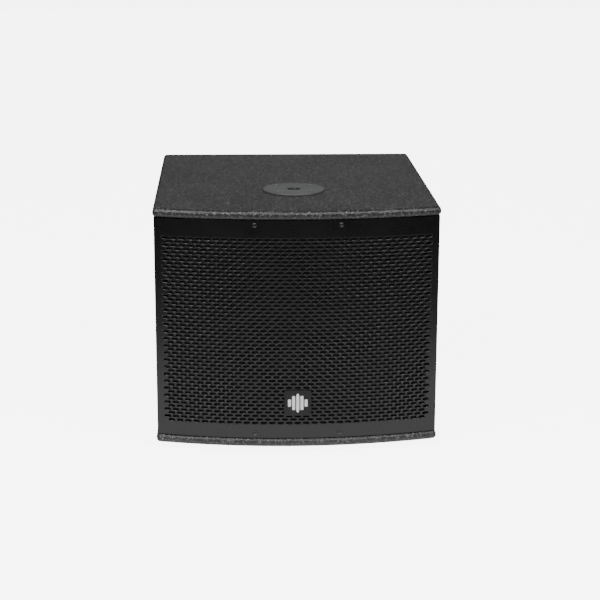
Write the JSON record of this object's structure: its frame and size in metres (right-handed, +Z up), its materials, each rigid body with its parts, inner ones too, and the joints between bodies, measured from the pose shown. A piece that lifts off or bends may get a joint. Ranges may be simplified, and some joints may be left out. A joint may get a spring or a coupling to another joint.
{
  "type": "subwoofer cabinet",
  "caption": "Powered bass loudspeaker cabinet with a bowed slotted grille, a round pole-mount plate on top, recessed side grips and a rear amplifier panel.",
  "frame": {"origin": "centre of the bounding box at floor level, under the feet", "axes": "+X to the right seen from the front, +Y from the grille to the rear, +Z up"},
  "size_m": [0.48, 0.572, 0.4203],
  "materials": {
    "structured_paint": "black structured paint on plywood, fine rough grain",
    "bare_ply": "bare birch plywood",
    "grille_paint": "satin black powder coat on slotted steel sheet",
    "foam": "open black acoustic foam",
    "plate_steel": "dark grey satin coat on steel",
    "screw_steel": "black zinc screws",
    "badge": "dark plate with a plain white level-meter mark",
    "foot_rubber": "black rubber",
    "moulding": "fine-grained black plastic",
    "cast_frame": "black-coated casting",
    "motor_steel": "plated steel",
    "ferrite": "dull dark ferrite",
    "cone_paper": "matt black pressed paper",
    "surround_rubber": "soft black rubber",
    "spider_cloth": "resin-stiffened woven cloth",
    "coil_copper": "lacquered copper winding",
    "amp_paint": "satin black coat",
    "sink_black": "black anodised extrusion",
    "tray_steel": "zinc-plated sheet",
    "circuit": "green solder mask",
    "winding": "taped toroidal winding on an iron core",
    "lamp": "clear green lens",
    "lead_sheath": "black cable sheath",
    "contact_steel": "plated steel tab"
  },
  "bodies": {
    "cabinet": {"top_panel": "structured_paint", "bottom_panel": "structured_paint", "left_side_panel": "structured_paint", "right_side_panel": "structured_paint", "rear_panel": "structured_paint", "baffle": "structured_paint", "window_brace": "bare_ply", "grille": "grille_paint", "grille_foam": "foam", "grille_batten_top": "structured_paint", "grille_batten_bottom": "structured_paint", "badge": "badge", "stand_flange": "plate_steel", "grille_screw_1": "screw_steel", "flange_screw_1": "screw_steel", "grille_screw_2": "screw_steel", "flange_screw_2": "screw_steel", "grille_screw_3": "screw_steel", "flange_screw_3": "screw_steel", "grille_screw_4": "screw_steel", "flange_screw_4": "screw_steel", "foot_front_left": "foot_rubber", "foot_front_right": "foot_rubber", "foot_rear_left": "foot_rubber", "foot_rear_right": "foot_rubber", "handle_left": "moulding", "port_left": "moulding", "input_socket_left": "moulding", "output_socket_left": "moulding", "handle_right": "moulding", "port_right": "moulding", "input_socket_right": "moulding", "output_socket_right": "moulding", "driver_basket": "cast_frame", "driver_gasket": "foam", "driver_top_plate": "motor_steel", "driver_pole_piece": "motor_steel", "driver_magnet": "ferrite", "surround": "surround_rubber", "spider": "spider_cloth", "amp_plate": "amp_paint", "heat_sink": "sink_black", "amp_tray": "tray_steel", "amp_board": "circuit", "transformer": "winding", "rocker_frame": "moulding", "mains_inlet": "moulding", "status_lamp": "lamp", "driver_lead": "lead_sheath"},
    "cone_assembly": {"cone": "cone_paper", "dust_cap": "cone_paper", "voice_coil": "coil_copper"},
    "level_knob": {"level_knob": "moulding"},
    "crossover_knob": {"crossover_knob": "moulding"},
    "phase_switch": {"phase_switch": "moulding"},
    "ground_lift_button": {"ground_lift_button": "moulding"},
    "power_rocker": {"power_rocker": "moulding"},
    "fuse_drawer": {"fuse_drawer": "moulding"},
    "latch_tab_left": {"latch_tab_left": "contact_steel"},
    "latch_tab_right": {"latch_tab_right": "contact_steel"}
  },
  "joints": [
    {"name": "cone_travel", "type": "slide", "parent": "cabinet", "child": "cone_assembly", "axis": [0, -1, 0], "range_m": [-0.006, 0.006], "stiffness_N_per_m": 5700, "deforming": ["surround", "spider"]},
    {"name": "level_turn", "type": "hinge", "parent": "cabinet", "child": "level_knob", "pos_m": [0.09, 0.2688, 0.2575], "axis": [0, -1, 0], "range_deg": [-150, 150]},
    {"name": "crossover_turn", "type": "hinge", "parent": "cabinet", "child": "crossover_knob", "pos_m": [0.045, 0.2688, 0.2575], "axis": [0, -1, 0], "range_deg": [-150, 150]},
    {"name": "phase_slide", "type": "slide", "parent": "cabinet", "child": "phase_switch", "axis": [1, 0, 0], "range_m": [0, 0.004]},
    {"name": "ground_lift_press", "type": "slide", "parent": "cabinet", "child": "ground_lift_button", "axis": [0, -1, 0], "range_m": [0, 0.0025], "stiffness_N_per_m": 400},
    {"name": "power_rock", "type": "hinge", "parent": "cabinet", "child": "power_rocker", "pos_m": [0.06, 0.2701, 0.1115], "axis": [1, 0, 0], "range_deg": [0, 24]},
    {"name": "fuse_drawer_slide", "type": "slide", "parent": "cabinet", "child": "fuse_drawer", "axis": [0, 1, 0], "range_m": [0, 0.02]},
    {"name": "latch_press_left", "type": "slide", "parent": "cabinet", "child": "latch_tab_left", "axis": [0, -1, 0], "range_m": [0, 0.0015], "stiffness_N_per_m": 300},
    {"name": "latch_press_right", "type": "slide", "parent": "cabinet", "child": "latch_tab_right", "axis": [0, -1, 0], "range_m": [0, 0.0015], "stiffness_N_per_m": 300}
  ]
}
